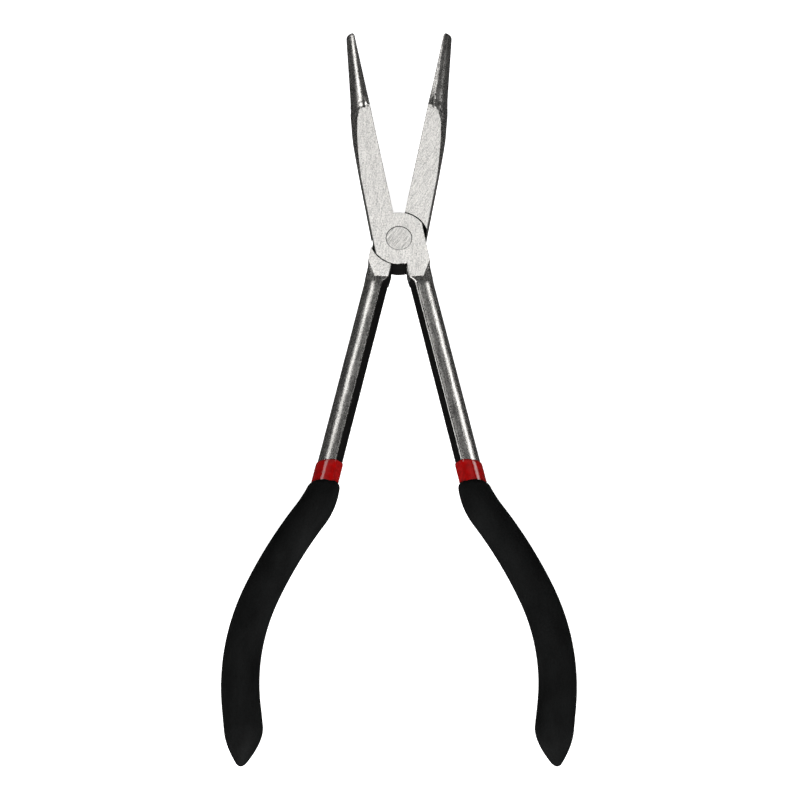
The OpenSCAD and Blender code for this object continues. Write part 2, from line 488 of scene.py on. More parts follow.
def join(tree, slot, value):
    """Links a socket to a value's socket, or sets it to a plain value."""
    if isinstance(value, Number):
        tree.links.new(value.socket, slot)
    elif isinstance(value, bpy.types.NodeSocket):
        tree.links.new(value, slot)
    else:
        slot.default_value = value


def add(tree, kind, settings=None, inputs=None):
    """Adds one node: its settings first, then the values or links of its sockets."""
    node = tree.nodes.new(kind)
    for name, value in (settings or {}).items():
        setattr(node, name, value)
    for name, value in (inputs or {}).items():
        join(tree, node.inputs[name], value)
    return node


def number(tree, node, output=0):
    return Number(tree, node.outputs[output])


# Materials

class Finish:
    """A material under construction, with patterns that follow a lever turned by an angle."""

    def __init__(self, name, turn=0.0):
        self.material = bpy.data.materials.new(name)
        self.material.use_nodes = True
        self.tree = self.material.node_tree
        self.surface = self.tree.nodes["Principled BSDF"]
        coordinates = add(self.tree, "ShaderNodeTexCoord")
        upright = add(self.tree, "ShaderNodeMapping", None, {
            "Vector": coordinates.outputs["Object"],
            "Rotation": (0, 0, math.radians(-turn))})
        self.place = upright.outputs["Vector"]

    def set(self, **values):
        """Sets sockets of the surface shader; an underscore stands for a space."""
        for name, value in values.items():
            join(self.tree, self.surface.inputs[name.replace("_", " ")], value)

    def patch(self, across, along, detail=2.0, turn=0.0, roughness=0.5):
        """Noise with patches of a size in millimetres across and along the lever."""
        swung = add(self.tree, "ShaderNodeMapping", None, {
            "Vector": self.place, "Rotation": (0, 0, math.radians(turn))})
        scale = (1 / (across * MM), 1 / (along * MM), 1 / (across * MM))
        stretched = add(self.tree, "ShaderNodeMapping", None, {
            "Vector": swung.outputs["Vector"], "Scale": scale})
        pattern = add(self.tree, "ShaderNodeTexNoise", None, {
            "Vector": stretched.outputs["Vector"], "Scale": 1.0,
            "Detail": detail, "Roughness": roughness})
        return number(self.tree, pattern)

    def blend(self, factor, a, b):
        """Mixes two colours."""
        node = add(self.tree, "ShaderNodeMix", {"data_type": "RGBA"})
        join(self.tree, node.inputs[0], factor)
        join(self.tree, node.inputs[6], (*a, 1))
        join(self.tree, node.inputs[7], (*b, 1))
        return node.outputs[2]

    def bump(self, height, depth):
        """Roughens the surface by a height pattern, to a depth in millimetres."""
        node = add(self.tree, "ShaderNodeBump", None, {
            "Height": height, "Distance": depth * MM, "Strength": 1.0})
        join(self.tree, self.surface.inputs["Normal"], node.outputs["Normal"])


def shaded(colour, factor):
    """A colour made darker, or lighter by a factor over 1."""
    return tuple(factor * part for part in colour)


def ground_steel(name, turn, looks):
    """Belt-ground flats: pale, satin, with fine slanting scratches and specks."""
    finish = Finish(name, turn)
    scratches = finish.patch(0.16, 3.5, 3.0, looks.grain_turn)
    cross = finish.patch(0.2, 2.2, 2.0, looks.grain_turn - 38)
    specks = finish.patch(0.5, 0.6, 3.0, 0, 0.75)
    clouds = finish.patch(3.0, 6.0, 2.0)
    tone = scratches * 0.35 + cross * 0.15 + specks * 0.5
    finish.set(
        Base_Color=finish.blend(tone.between(0.36, 0.56), shaded(looks.ground, 0.36), looks.ground),
        Metallic=0.45,
        Roughness=0.5 + 0.12 * clouds.between(0.3, 0.7) + 0.1 * scratches.between(0.35, 0.65))
    finish.bump(scratches * 0.6 + cross * 0.2 + specks * 0.6, 0.09)
    return finish.material


def polished_steel(name, turn, looks):
    """Forged and tumbled bar: darker and shinier, with streaks and small pits along its length."""
    finish = Finish(name, turn)
    streaks = finish.patch(0.5, 7.0, 3.0)
    pits = finish.patch(0.55, 0.8, 3.0, 0, 0.75)
    clouds = finish.patch(2.0, 9.0, 2.0)
    worn = (streaks * 0.4 + pits * 0.4 + clouds * 0.2).between(0.4, 0.56)
    finish.set(
        Base_Color=finish.blend(worn, shaded(looks.polished, 0.5), looks.polished),
        Metallic=0.96,
        Roughness=0.18 + 0.08 * streaks.between(0.35, 0.65) + 0.1 * pits.between(0.4, 0.6))
    finish.bump(streaks * 0.4 + pits * 0.7, 0.06)
    return finish.material


def scaled_steel(name, turn, looks):
    """Black scale left in the recesses and on the inner facets, rubbed a little along its grain."""
    finish = Finish(name, turn)
    rubbed = finish.patch(0.8, 5.0, 4.0, 0, 0.6)
    grains = finish.patch(0.35, 0.4, 3.0)
    finish.set(
        Base_Color=finish.blend(rubbed.between(0.5, 0.78), looks.scaled, shaded(looks.scaled, 3.0)),
        Roughness=0.55 + 0.2 * grains,
        Specular_IOR_Level=0.1)
    finish.bump(grains * 0.6 + rubbed * 0.4, 0.03)
    return finish.material


def dipped_vinyl(name, turn, looks):
    """Glossy dipped plastic, slightly uneven where it drained."""
    finish = Finish(name, turn)
    drained = finish.patch(2.2, 1.4, 2.0)
    dust = finish.patch(0.25, 0.25, 2.0)
    finish.set(
        Base_Color=finish.blend(drained.between(0.35, 0.65), shaded(looks.vinyl, 0.72), looks.vinyl),
        Roughness=0.06 + 0.06 * dust)
    finish.bump(drained * 0.8 + dust * 0.1, 0.05)
    return finish.material


def foam_grip(name, turn, looks):
    """Matt black foam skin with a very fine pebble."""
    finish = Finish(name, turn)
    pebble = finish.patch(0.32, 0.32, 3.0, 0, 0.65)
    dents = finish.patch(1.4, 1.8, 2.0)
    wear = finish.patch(6.0, 14.0, 3.0)
    tone = (pebble * 0.6 + wear * 0.4).between(0.4, 0.66)
    finish.set(
        Base_Color=finish.blend(tone, looks.foam, shaded(looks.foam, 3.4)),
        Roughness=0.7 + 0.16 * pebble,
        Specular_IOR_Level=0.05)
    finish.bump(pebble * 0.8 + dents * 0.3, 0.11)
    return finish.material


def rivet_steel(name, looks):
    """The rivet's ground face, scratched one way."""
    finish = Finish(name)
    scratches = finish.patch(0.14, 4.0, 3.0, 32)
    specks = finish.patch(0.3, 0.4, 3.0, 0, 0.65)
    tone = (scratches * 0.65 + specks * 0.35).between(0.4, 0.58)
    finish.set(
        Base_Color=finish.blend(tone, shaded(looks.ground, 0.42), looks.ground),
        Metallic=0.45,
        Roughness=0.5 + 0.14 * scratches.between(0.3, 0.7))
    finish.bump(scratches * 0.8 + specks * 0.3, 0.02)
    return finish.material


# Geometry node trees

def new_tree(name, inputs):
    """A geometry tree with named inputs; returns the tree and its input and output nodes."""
    tree = bpy.data.node_groups.new(name, "GeometryNodeTree")
    interface = tree.interface
    interface.new_socket(name="Geometry", in_out="INPUT", socket_type="NodeSocketGeometry")
    for label, kind, _ in inputs:
        interface.new_socket(name=label, in_out="INPUT", socket_type=kind)
    interface.new_socket(name="Geometry", in_out="OUTPUT", socket_type="NodeSocketGeometry")
    return tree, add(tree, "NodeGroupInput"), add(tree, "NodeGroupOutput")


def grown(name, data, tree, inputs):
    """Runs a geometry tree on data and returns the plain mesh."""
    thing = linked(name, data)
    modifier = thing.modifiers.new(name, "NODES")
    modifier.node_group = tree
    values = {label: value for label, _, value in inputs}
    for item in tree.interface.items_tree:
        if item.in_out == "INPUT" and item.name in values:
            modifier[item.identifier] = values[item.name]
    mesh = evaluated_mesh(thing)
    bpy.data.objects.remove(thing)
    return mesh


def serration_cutters(looks, material):
    """A row of square bars on edge that cut V grooves across the closed gripping face."""
    count = int(TEETH_LEN / (looks.tooth_pitch / MM))
    inputs = [
        ("Count", "NodeSocketInt", count),
        ("Pitch", "NodeSocketFloat", looks.tooth_pitch / MM),
        ("Depth", "NodeSocketFloat", looks.tooth_depth / MM),
        ("Face", "NodeSocketFloat", -JAW_GAP / 2),
        ("Tip", "NodeSocketFloat", JAW_LEN),
        ("Height", "NodeSocketFloat", THICK + 2),
        ("Seed", "NodeSocketInt", 7),
        ("Material", "NodeSocketMaterial", material)]
    tree, source, target = new_tree("Serrations", inputs)
    value = {label: Number(tree, source.outputs[label]) for label, _, _ in inputs}
    radius = value["Depth"] * 3
    start = add(tree, "ShaderNodeCombineXYZ", None, {
        "X": value["Face"] + radius - value["Depth"],
        "Y": value["Tip"] - value["Pitch"],
        "Z": MID})
    step = add(tree, "ShaderNodeCombineXYZ", None, {"Y": 0 - value["Pitch"]})
    row = add(tree, "GeometryNodeMeshLine", {"mode": "OFFSET"}, {
        "Count": value["Count"],
        "Start Location": start.outputs[0],
        "Offset": step.outputs[0]})
    bar = add(tree, "GeometryNodeMeshCylinder", None, {
        "Vertices": 4, "Radius": radius, "Depth": value["Height"]})
    uneven = add(tree, "FunctionNodeRandomValue", {"data_type": "FLOAT"}, {"Seed": value["Seed"]})
    limits = {"Min": 0.95, "Max": 1.04}
    for slot in uneven.inputs:
        if slot.enabled and slot.name in limits:
            slot.default_value = limits[slot.name]
    sized = add(tree, "ShaderNodeCombineXYZ", None, {
        "X": number(tree, uneven, 1), "Y": number(tree, uneven, 1), "Z": 1.0})
    bars = add(tree, "GeometryNodeInstanceOnPoints", None, {
        "Points": row.outputs["Mesh"],
        "Instance": bar.outputs["Mesh"],
        "Scale": sized.outputs[0]})
    real = add(tree, "GeometryNodeRealizeInstances", None, {"Geometry": bars.outputs[0]})
    coated = add(tree, "GeometryNodeSetMaterial", None, {
        "Geometry": real.outputs[0], "Material": source.outputs["Material"]})
    tree.links.new(coated.outputs[0], target.inputs[0])
    mesh = grown("serrations", bpy.data.meshes.new("points"), tree, inputs)
    for polygon in mesh.polygons:
        polygon.material_index = SCALED
    return mesh


def vector_math(tree, operation, a, b, output=0):
    """One Vector Math node; SCALE takes its number from b."""
    node = add(tree, "ShaderNodeVectorMath", {"operation": operation})
    join(tree, node.inputs[0], a)
    join(tree, node.inputs[3 if operation == "SCALE" else 1], b)
    return node.outputs[output]


def grip_tree(inputs):
    """A tube on the handle's path: a rolled lip, a slow swell, and a blunt point that leans out."""
    tree, source, target = new_tree("Foam grip", inputs)
    value = {label: Number(tree, source.outputs[label]) for label, _, _ in inputs}
    along = add(tree, "GeometryNodeSplineParameter").outputs["Length"]
    tangent = add(tree, "GeometryNodeInputTangent").outputs[0]
    centre = add(tree, "GeometryNodeInputPosition").outputs[0]
    kept = add(tree, "GeometryNodeCaptureAttribute")
    captured = (("length", "FLOAT", along), ("tangent", "VECTOR", tangent), ("centre", "VECTOR", centre))
    for label, kind, link in captured:
        kept.capture_items.new(kind, label)
        tree.links.new(link, kept.inputs[label])
    tree.links.new(source.outputs["Geometry"], kept.inputs["Geometry"])
    ring = add(tree, "GeometryNodeCurvePrimitiveCircle", None, {
        "Resolution": value["Sides"], "Radius": 1.0})
    tube = add(tree, "GeometryNodeCurveToMesh", None, {
        "Curve": kept.outputs["Geometry"],
        "Profile Curve": ring.outputs["Curve"],
        "Fill Caps": True})
    s = Number(tree, kept.outputs["length"])
    swell = (s - value["Roll"]).between(0, value["Swell"])
    belly = (s - value["Roll"]).between(0, value["Point Start"] - value["Roll"])
    point = (s - value["Point Start"]).between(0, value["Point Length"])
    full = value["Top Radius"] + (value["Belly Radius"] - value["Top Radius"]) * (
        (swell * (math.pi / 2)).sine() * 0.4 + belly * 0.6)
    slim = full * (1 - point ** 1.7 * 0.84)
    rolled = 1 - s.between(0, value["Roll"])
    lip = value["Lip Radius"] + (slim - value["Lip Radius"]) * (1 - rolled * rolled).root()
    blunt = 1 - (value["Point Start"] + value["Point Length"] - s).between(0, value["End Round"])
    radius = lip * ((1 - blunt * blunt).root() * 0.9 + 0.1)
    side = vector_math(tree, "CROSS_PRODUCT", kept.outputs["tangent"], (0, 0, -1))
    position = add(tree, "GeometryNodeInputPosition").outputs[0]
    spoke = vector_math(tree, "SUBTRACT", position, kept.outputs["centre"])
    outwards = Number(tree, vector_math(tree, "DOT_PRODUCT", spoke, side, 1))
    fade = 1 - s.between(value["Roll"] * 0.6, value["Roll"] * 3)
    swung = outwards * radius * value["Top Skew"] * fade
    moved = vector_math(tree, "ADD", kept.outputs["centre"], vector_math(tree, "SCALE", spoke, radius))
    moved = vector_math(tree, "ADD", moved, vector_math(
        tree, "SCALE", side, point ** 1.5 * value["Point Shift"]))
    moved = vector_math(tree, "ADD", moved, vector_math(tree, "SCALE", kept.outputs["tangent"], swung))
    shaped = add(tree, "GeometryNodeSetPosition", None, {
        "Geometry": tube.outputs[0], "Position": moved})
    coated = add(tree, "GeometryNodeSetMaterial", None, {
        "Geometry": shaped.outputs[0], "Material": source.outputs["Material"]})
    tree.links.new(coated.outputs[0], target.inputs[0])
    return tree


# Steel pieces

def blank_mesh(rounding):
    """The lever cut from plate: its outline with softly rounded rims."""
    outline = lever_outline()
    steps = 4
    rims = []
    for i in range(steps + 1):
        a = math.radians(90 * i / steps)
        rims.append((rounding * (1 - math.sin(a)), rounding * (1 - math.cos(a))))
    rings = [[Vector((p.x, p.y, rise)) for p in inset(outline, inwards)] for inwards, rise in rims]
    for inwards, rise in reversed(rims):
        rings.append([Vector((p.x, p.y, THICK - rise)) for p in inset(outline, inwards)])
    return loft(rings, POLISHED, GROUND)


def nose_radius(y):
    """Half height of the forged nose: the flats begin where it passes half the thickness."""
    merged = math.hypot(flank_taper(MERGE_LEN) - nose_axis(MERGE_LEN), MID)
    if y > FLAT_LEN:
        left = (JAW_LEN - y) / (JAW_LEN - FLAT_LEN)
        dip, dip_reach, end_round = 0.25, 2.5, 1.3
        radius = TIP_H / 2 + (MID - TIP_H / 2) * left
        radius -= dip * (1 - math.exp((FLAT_LEN - y) / dip_reach)) * left
        end = share(y, JAW_LEN - end_round, end_round)
        return radius * (0.55 + 0.45 * math.sqrt(1 - end * end))
    swell_reach, past_blank = 9, 30
    swell = MID + (merged - MID) * (1 - math.exp((y - FLAT_LEN) / swell_reach))
    return swell + past_blank * share(MERGE_LEN - y, 0, MERGE_LEN - BLANK_LEN) ** 1.5


def nose_axis(y):
    """Distance from the gripping plane to the line that the nose is round about."""
    tip = TIP_W - TIP_H / 2
    flat = jaw_width(FLAT_LEN) - MID
    return tip + (flat - tip) * (JAW_LEN - y) / (JAW_LEN - FLAT_LEN)


def nose_mesh(unevenness, seed):
    """The forged nose: half round outside and straight inside, slightly uneven."""
    stations = [JAW_LEN + 0.02 - i * 0.15 for i in range(10)]
    stations += [JAW_LEN - 1.5 - i * 0.6 for i in range(104)]
    stations += [BLANK_LEN, 0, -ROOT_LEN - 2]
    past_jaw = 14
    rings = []
    for y in stations:
        radius, axis = nose_radius(min(y, JAW_LEN)), nose_axis(y)
        scuffed = share(y, FLAT_LEN - 9, SCUFF_REACH) * (1 - share(y, FLAT_LEN + 1, SCUFF_REACH))
        ring = []
        for i in range(41):
            a = math.radians(-90 + 180 * i / 40)
            bumpy = wobble(y / 2.6, 2.2 * math.sin(a), 0, seed)
            bumpy += 0.6 * wobble(y / 1.1, 5 * math.sin(a), 3, seed)
            bumpy += 8 * scuffed * wobble(y / 0.8, 6 * math.sin(a), 5, seed)
            r = radius + unevenness * bumpy * share(JAW_LEN - y, 0.5, 8)
            ring.append(Vector((-axis - r * math.cos(a), y, MID + r * math.sin(a))))
        top, bottom = ring[-1].z, ring[0].z
        slope = NOSE_SLOPE * smooth(share(y, FLAT_LEN, 8))
        inner = [(-axis * (1 - i / 12), slope * axis * (i / 12) ** 1.2) for i in range(1, 13)]
        inner.append((past_jaw, slope * axis))
        rough = 11 * unevenness * scuffed
        inner = [(x, drop + rough * wobble(y / 0.8, x / 0.8, 11, seed)) for x, drop in inner]
        ring += [Vector((x, y, top - drop)) for x, drop in inner]
        ring += [Vector((x, y, bottom + drop)) for x, drop in reversed(inner)]
        rings.append(ring)
    return loft(rings)


def tang_stations():
    """Places along the bent tang, where its rings and the sleeve's are."""
    return [BEND_1 + 2.5 * i for i in range(1, 36)]


def bar_mesh(unevenness, seed):
    """The handle bar from inside the root to its end in the grip."""
    stations = [-9, -8, -7.4, -7.1, -6.8, -6.5, -6.2, -5.9, -5.6, -5.3]
    stations += [-5, -4.6, -4.2, -3.8, -3.2, -2.6, -2, -1.2]
    stations += [0.8 * i for i in range(int(SLEEVE_START / 0.8) + 1)]
    stations += [SLEEVE_START + 1.5 * i for i in range(1, 9)]
    stations += tang_stations() + [TANG_END]
    ceiling = MID - ROOT_STEP
    rings = []
    for s in stations:
        rise = max(0, -s) / ROOT_RISE
        half_h = SHANK_HALF_H + (MID - SHANK_HALF_H) * rise ** 2.5
        fullness = 1 - 0.6 * smooth(share(-s, 1.6, 2.6))
        section = bar_section(SHANK_HALF_W, half_h, ridge_at(s), fullness)
        ring = []
        shown = share(SLEEVE_START + 2 - s, 0, 2)
        for p in section:
            uneven = wobble(p.x / 1.6, p.y / 1.6, s / 5, seed)
            uneven += 0.5 * wobble(p.x / 0.7, p.y / 0.7, s / 1.6, seed)
            grown_by = 1 + unevenness * shown * uneven / SHANK_HALF_W
            ring.append(Vector((p.x * grown_by, p.y * grown_by)))
        ring = [Vector((p.x, max(-ceiling, min(ceiling, p.y)))) for p in ring]
        rings.append(placed(ring, s))
    return loft(rings)


def lever_mesh(front, looks, slots):
    """One steel lever, made closed and as the front one, then turned to its place."""
    seed = 1 if front else 2
    rim = looks.edge / MM
    uneven = looks.forging / MM
    mesh = combined(blank_mesh(rim), nose_mesh(uneven, seed), "INTERSECT", slots)
    mesh = combined(mesh, bar_mesh(uneven, seed), "UNION", slots)
    top = MID + LAP_GAP / 2
    recess = turned([
        (RECESS_R + rim, -1), (RECESS_R + rim, 0), (RECESS_R + 0.35 * rim, 0.35 * rim),
        (RECESS_R, rim), (RECESS_R, top)], SCALED, 160)
    mesh = combined(mesh, recess, "DIFFERENCE", slots)
    hole_r = RIVET_R + (PRESS_FIT if front else TURNING_FIT)
    hole = turned([
        (hole_r, -1), (hole_r, THICK - rim), (hole_r + RIVET_GROOVE, THICK),
        (hole_r + RIVET_GROOVE, THICK + 1)], SCALED)
    mesh = combined(mesh, hole, "DIFFERENCE", slots)
    mesh = combined(mesh, serration_cutters(looks, slots[SCALED]), "DIFFERENCE", slots)
    for polygon in mesh.polygons:
        polygon.material_index = lever_finish(polygon, front)
    return opened(mesh, front)


def lever_finish(polygon, front):
    """Which finish a face of the closed lever has, from where it is and how it faces."""
    x, y, z = polygon.center
    scale_start = FRONT_SCALE if front else REAR_SCALE
    near_flat = min(abs(z), abs(z - THICK)) < 0.02
    if polygon.material_index == SCALED:
        return SCALED
    if abs(polygon.normal.z) > 0.99 and near_flat:
        return GROUND
    if abs(polygon.normal.z) > 0.5:
        if inner_facet(x, y, scale_start):
            return SCALED
        # Pale ground steel along the front lever's ridge: a painted highlight
        return GROUND if front and inner_facet(x, y, FRONT_PAINTED_HIGHLIGHT) else POLISHED
    round_rim = abs(x) < FLANK - 0.1 and math.hypot(x, y) < DISC_R + 0.1
    if inner_facet(x, y, scale_start) or round_rim and (y < -0.5 or y > 0):
        return SCALED
    return POLISHED


def inner_facet(x, y, start):
    """True on the two inner facets of the handle, from a distance past their ridge."""
    if y > -DISC_R + 0.2:
        return False
    s = -(y + SHANK_START)
    centre_x = SHANK_INSET + s * math.tan(math.radians(SHANK_LEAN))
    return x - centre_x < -ridge_at(s) * SHANK_HALF_W - start


# Sizes and finishes that a user would change

class PliersLooks(PropertyGroup):
    """Sizes and colours of the finished pieces."""
    edge: FloatProperty(
        name="Edge rounding", description="Rounding of the plate's edges and of the rivet's rim",
        default=0.00014, min=0.00005, max=0.0004, precision=5, unit="LENGTH")
    forging: FloatProperty(
        name="Forging unevenness", description="How far the forged surfaces wander",
        default=0.00003, min=0.0, max=0.0002, precision=5, unit="LENGTH")
    tooth_pitch: FloatProperty(
        name="Serration pitch", description="Distance from one serration to the next",
        default=0.0011, min=0.0008, max=0.003, precision=4, unit="LENGTH")
    tooth_depth: FloatProperty(
        name="Serration depth", description="Depth of the V grooves in the gripping faces",
        default=0.00035, min=0.0001, max=0.0006, precision=5, unit="LENGTH")
    grain_turn: FloatProperty(
        name="Grinding angle", description="Angle of the grinding marks to the jaw, in degrees",
        default=20.0, min=-90.0, max=90.0)
    ground: FloatVectorProperty(
        name="Ground steel", description="Colour of the ground flats",
        default=(0.9, 0.882, 0.85), min=0.0, max=1.0, subtype="COLOR", size=3)
    polished: FloatVectorProperty(
        name="Polished steel", description="Colour of the forged nose and handle bars",
        default=(0.5, 0.488, 0.468), min=0.0, max=1.0, subtype="COLOR", size=3)
    scaled: FloatVectorProperty(
        name="Black scale", description="Colour of the recesses and inner facets",
        default=(0.002, 0.0018, 0.0017), min=0.0, max=1.0, subtype="COLOR", size=3)
    vinyl: FloatVectorProperty(
        name="Dipped vinyl", description="Colour of the inner sleeves",
        default=(0.24, 0.001, 0.001), min=0.0, max=1.0, subtype="COLOR", size=3)
    foam: FloatVectorProperty(
        name="Foam", description="Colour of the outer grips",
        default=(0.0017, 0.0018, 0.0018), min=0.0, max=1.0, subtype="COLOR", size=3)


class PliersGrip(PropertyGroup):
    """Shape of the outer grips."""
    top_radius: FloatProperty(
        name="Top radius", description="Radius just below the rolled lip",
        default=0.0055, min=0.005, max=0.007, precision=4, unit="LENGTH")
    belly_radius: FloatProperty(
        name="Belly radius", description="Radius at the thickest place",
        default=0.0065, min=0.0055, max=0.0075, precision=4, unit="LENGTH")
    lip_radius: FloatProperty(
        name="Lip radius", description="Radius at which the rolled lip meets the sleeve",
        default=0.0039, min=0.003, max=0.0042, precision=4, unit="LENGTH")
    point_shift: FloatProperty(
        name="Point shift", description="How far the point leans outwards at its end",
        default=0.002, min=0.0, max=0.003, precision=4, unit="LENGTH")
    sides: IntProperty(
        name="Sides", description="Faces round the grip", default=56, min=16, max=128)


class PliersStage(PropertyGroup):
    """Camera and studio."""
    elevation: FloatProperty(
        name="Camera elevation", description="Height of the camera above the horizon",
        default=math.radians(67), min=0.0, max=math.radians(89), subtype="ANGLE")
    distance: FloatProperty(
        name="Camera distance", description="From the camera to the middle of the view",
        default=1.2, min=0.4, max=3.0, unit="LENGTH")
    lens: FloatProperty(
        name="Lens", description="Focal length of the camera in millimetres",
        default=158.2, min=35.0, max=300.0)
    left: FloatProperty(
        name="Left light", description="Power of the long light on the left, in watts",
        default=4.4, min=0.0, max=100.0)
    jaws: FloatProperty(
        name="Jaw light", description="Power of the small light over the jaws, in watts",
        default=0.06, min=0.0, max=100.0)
    right: FloatProperty(
        name="Right light", description="Power of the small light by the right handle, in watts",
        default=0.0165, min=0.0, max=100.0)
    front: FloatProperty(
        name="Front light", description="Power of the wide light on the viewer's side, in watts",
        default=33.0, min=0.0, max=200.0)
    top: FloatProperty(
        name="Top light", description="Power of the light over the jaws, in watts",
        default=0.2, min=0.0, max=100.0)


class PLIERS_OT_levers(Operator):
    """Builds the two forged steel levers"""
    bl_idname = "pliers.levers"
    bl_label = "Steel levers"

    def execute(self, context):
        looks = context.scene.pliers_looks
        for body, front in (("front", True), ("rear", False)):
            turn = side_turn(front)
            slots = [
                ground_steel(f"ground_steel_{body}", turn, looks),
                polished_steel(f"polished_steel_{body}", turn, looks),
                scaled_steel(f"black_scale_{body}", turn, looks)]
            mesh = lever_mesh(front, looks, slots)
            finished(f"{body}_lever_steel", mesh, slots, body, f"{body}_lever")
        return {"FINISHED"}


class PLIERS_OT_rivet(Operator):
    """Builds the flush rivet that the levers turn on"""
    bl_idname = "pliers.rivet"
    bl_label = "Pivot rivet"

    def execute(self, context):
        looks = context.scene.pliers_looks
        rim = looks.edge / MM
        mesh = turned([
            (RIVET_R - rim, 0), (RIVET_R - 0.35 * rim, 0.35 * rim), (RIVET_R - 0.01, rim),
            (RIVET_R - 0.01, THICK - rim), (RIVET_R - 0.35 * rim, THICK - 0.35 * rim),
            (RIVET_R - rim, THICK)], GROUND)
        slots = [rivet_steel("rivet_steel", looks)]
        finished("rivet_steel", mesh, slots, "front", "pivot_rivet")
        return {"FINISHED"}


def sleeve_mesh():
    """The dipped sleeve on a closed handle: a thin skin with a rounded upper edge."""
    lip = [(0.0, 0.02), (0.06, 0.14), (0.16, 0.24), (0.32, 0.31), (0.6, 0.36), (1.1, 0.39)]
    shown = [(x, SLEEVE_WALL) for x in (1.6, 2.4, 3.4, 4.6, 5.8, 7.0, 8.0)]
    outer = []
    for along, wall in lip + shown:
        section = bar_section(SHANK_HALF_W + wall, SHANK_HALF_H + wall)
        outer.append(placed(section, SLEEVE_START + along, DIP_SKEW))
    full = bar_section(SHANK_HALF_W + SLEEVE_WALL, SHANK_HALF_H + SLEEVE_WALL)
    bare = bar_section(SHANK_HALF_W + 0.01, SHANK_HALF_H + 0.01)
    lower = [GRIP_START + 3.5] + tang_stations()
    outer += [placed(full, s) for s in lower + [SLEEVE_END]]
    inner = [placed(bare, s) for s in reversed(lower[:-1] + [TANG_END])]
    inner.append(placed(bare, GRIP_START, DIP_SKEW))
    inner.append(placed(bare, SLEEVE_START - 0.01, DIP_SKEW))
    return shell(outer + inner)


def shell(rings):
    """A skin closed at its far end: the rings run down its outside and back up its inside."""
    count = len(rings[0])
    turn = max(range(len(rings) - 1), key=lambda r: -rings[r][0].y - rings[r + 1][0].y)
    vertices = [tuple(point) for ring in rings for point in ring]
    faces = []
    for r in range(len(rings)):
        if r == turn:
            continue
        n = (r + 1) % len(rings)
        for i in range(count):
            j = (i + 1) % count
            faces.append((r * count + i, r * count + j, n * count + j, n * count + i))
    faces.append(tuple(turn * count + i for i in range(count)))
    faces.append(tuple((turn + 1) * count + i for i in range(count))[::-1])
    mesh = bpy.data.meshes.new("shell")
    mesh.from_pydata(vertices, [], faces)
    return outward(mesh, weld=False)


class PLIERS_OT_sleeves(Operator):
    """Builds the two red dipped sleeves"""
    bl_idname = "pliers.sleeves"
    bl_label = "Dipped sleeves"

    def execute(self, context):
        looks = context.scene.pliers_looks
        for side, body, front in HANDLES:
            slots = [dipped_vinyl(f"red_vinyl_{side}", side_turn(front), looks)]
            mesh = opened(sleeve_mesh(), front)
            name = f"{side}_inner_sleeve"
            finished(f"{side}_sleeve_vinyl", mesh, slots, body, name, 50)
        return {"FINISHED"}


def grip_path():
    """The closed handle's centre line from the grip's lip to its end, as a curve."""
    fine = [0, 0.06, 0.15, 0.3, 0.5, 0.8, 1.2, 1.7, 2.2]
    length = GRIP_END - GRIP_START
    middle = [2.8 + 1.2 * i for i in range(int((length - 6) / 1.2))]
    ending = [length - d for d in (2.4, 1.8, 1.3, 0.9, 0.6, 0.36, 0.18, 0.07, 0.0)]
    stations = fine + middle + ending
    curve = bpy.data.curves.new("grip path", "CURVE")
    curve.dimensions = "3D"
    line = curve.splines.new("POLY")
    line.points.add(len(stations) - 1)
    for point, along in zip(line.points, stations):
        place = centre_at(GRIP_START + along)
        point.co = (place.x, place.y, MID, 1)
    return curve


class PLIERS_OT_grips(Operator):
    """Builds the two black foam grips"""
    bl_idname = "pliers.grips"
    bl_label = "Foam grips"

    def execute(self, context):
        looks, grip = context.scene.pliers_looks, context.scene.pliers_grip
        tree = None
        for side, body, front in HANDLES:
            material = foam_grip(f"foam_grip_{side}", side_turn(front), looks)
            inputs = [
                ("Sides", "NodeSocketInt", grip.sides),
                ("Lip Radius", "NodeSocketFloat", grip.lip_radius / MM),
                ("Top Radius", "NodeSocketFloat", grip.top_radius / MM),
                ("Belly Radius", "NodeSocketFloat", grip.belly_radius / MM),
                ("Roll", "NodeSocketFloat", GRIP_ROLL),
                ("Swell", "NodeSocketFloat", GRIP_SWELL),
                ("Point Start", "NodeSocketFloat", float(POINT_START - GRIP_START)),
                ("Point Length", "NodeSocketFloat", float(GRIP_END - POINT_START)),
                ("Point Shift", "NodeSocketFloat", grip.point_shift / MM),
                ("End Round", "NodeSocketFloat", GRIP_END_ROUND),
                ("Top Skew", "NodeSocketFloat", math.tan(math.radians(DIP_SKEW))),
                ("Material", "NodeSocketMaterial", material)]
            tree = tree or grip_tree(inputs)
            mesh = opened(outward(grown("grip", grip_path(), tree, inputs)), front)
            finished(f"{side}_grip_foam", mesh, [material], body, f"{side}_grip", 60)
        return {"FINISHED"}


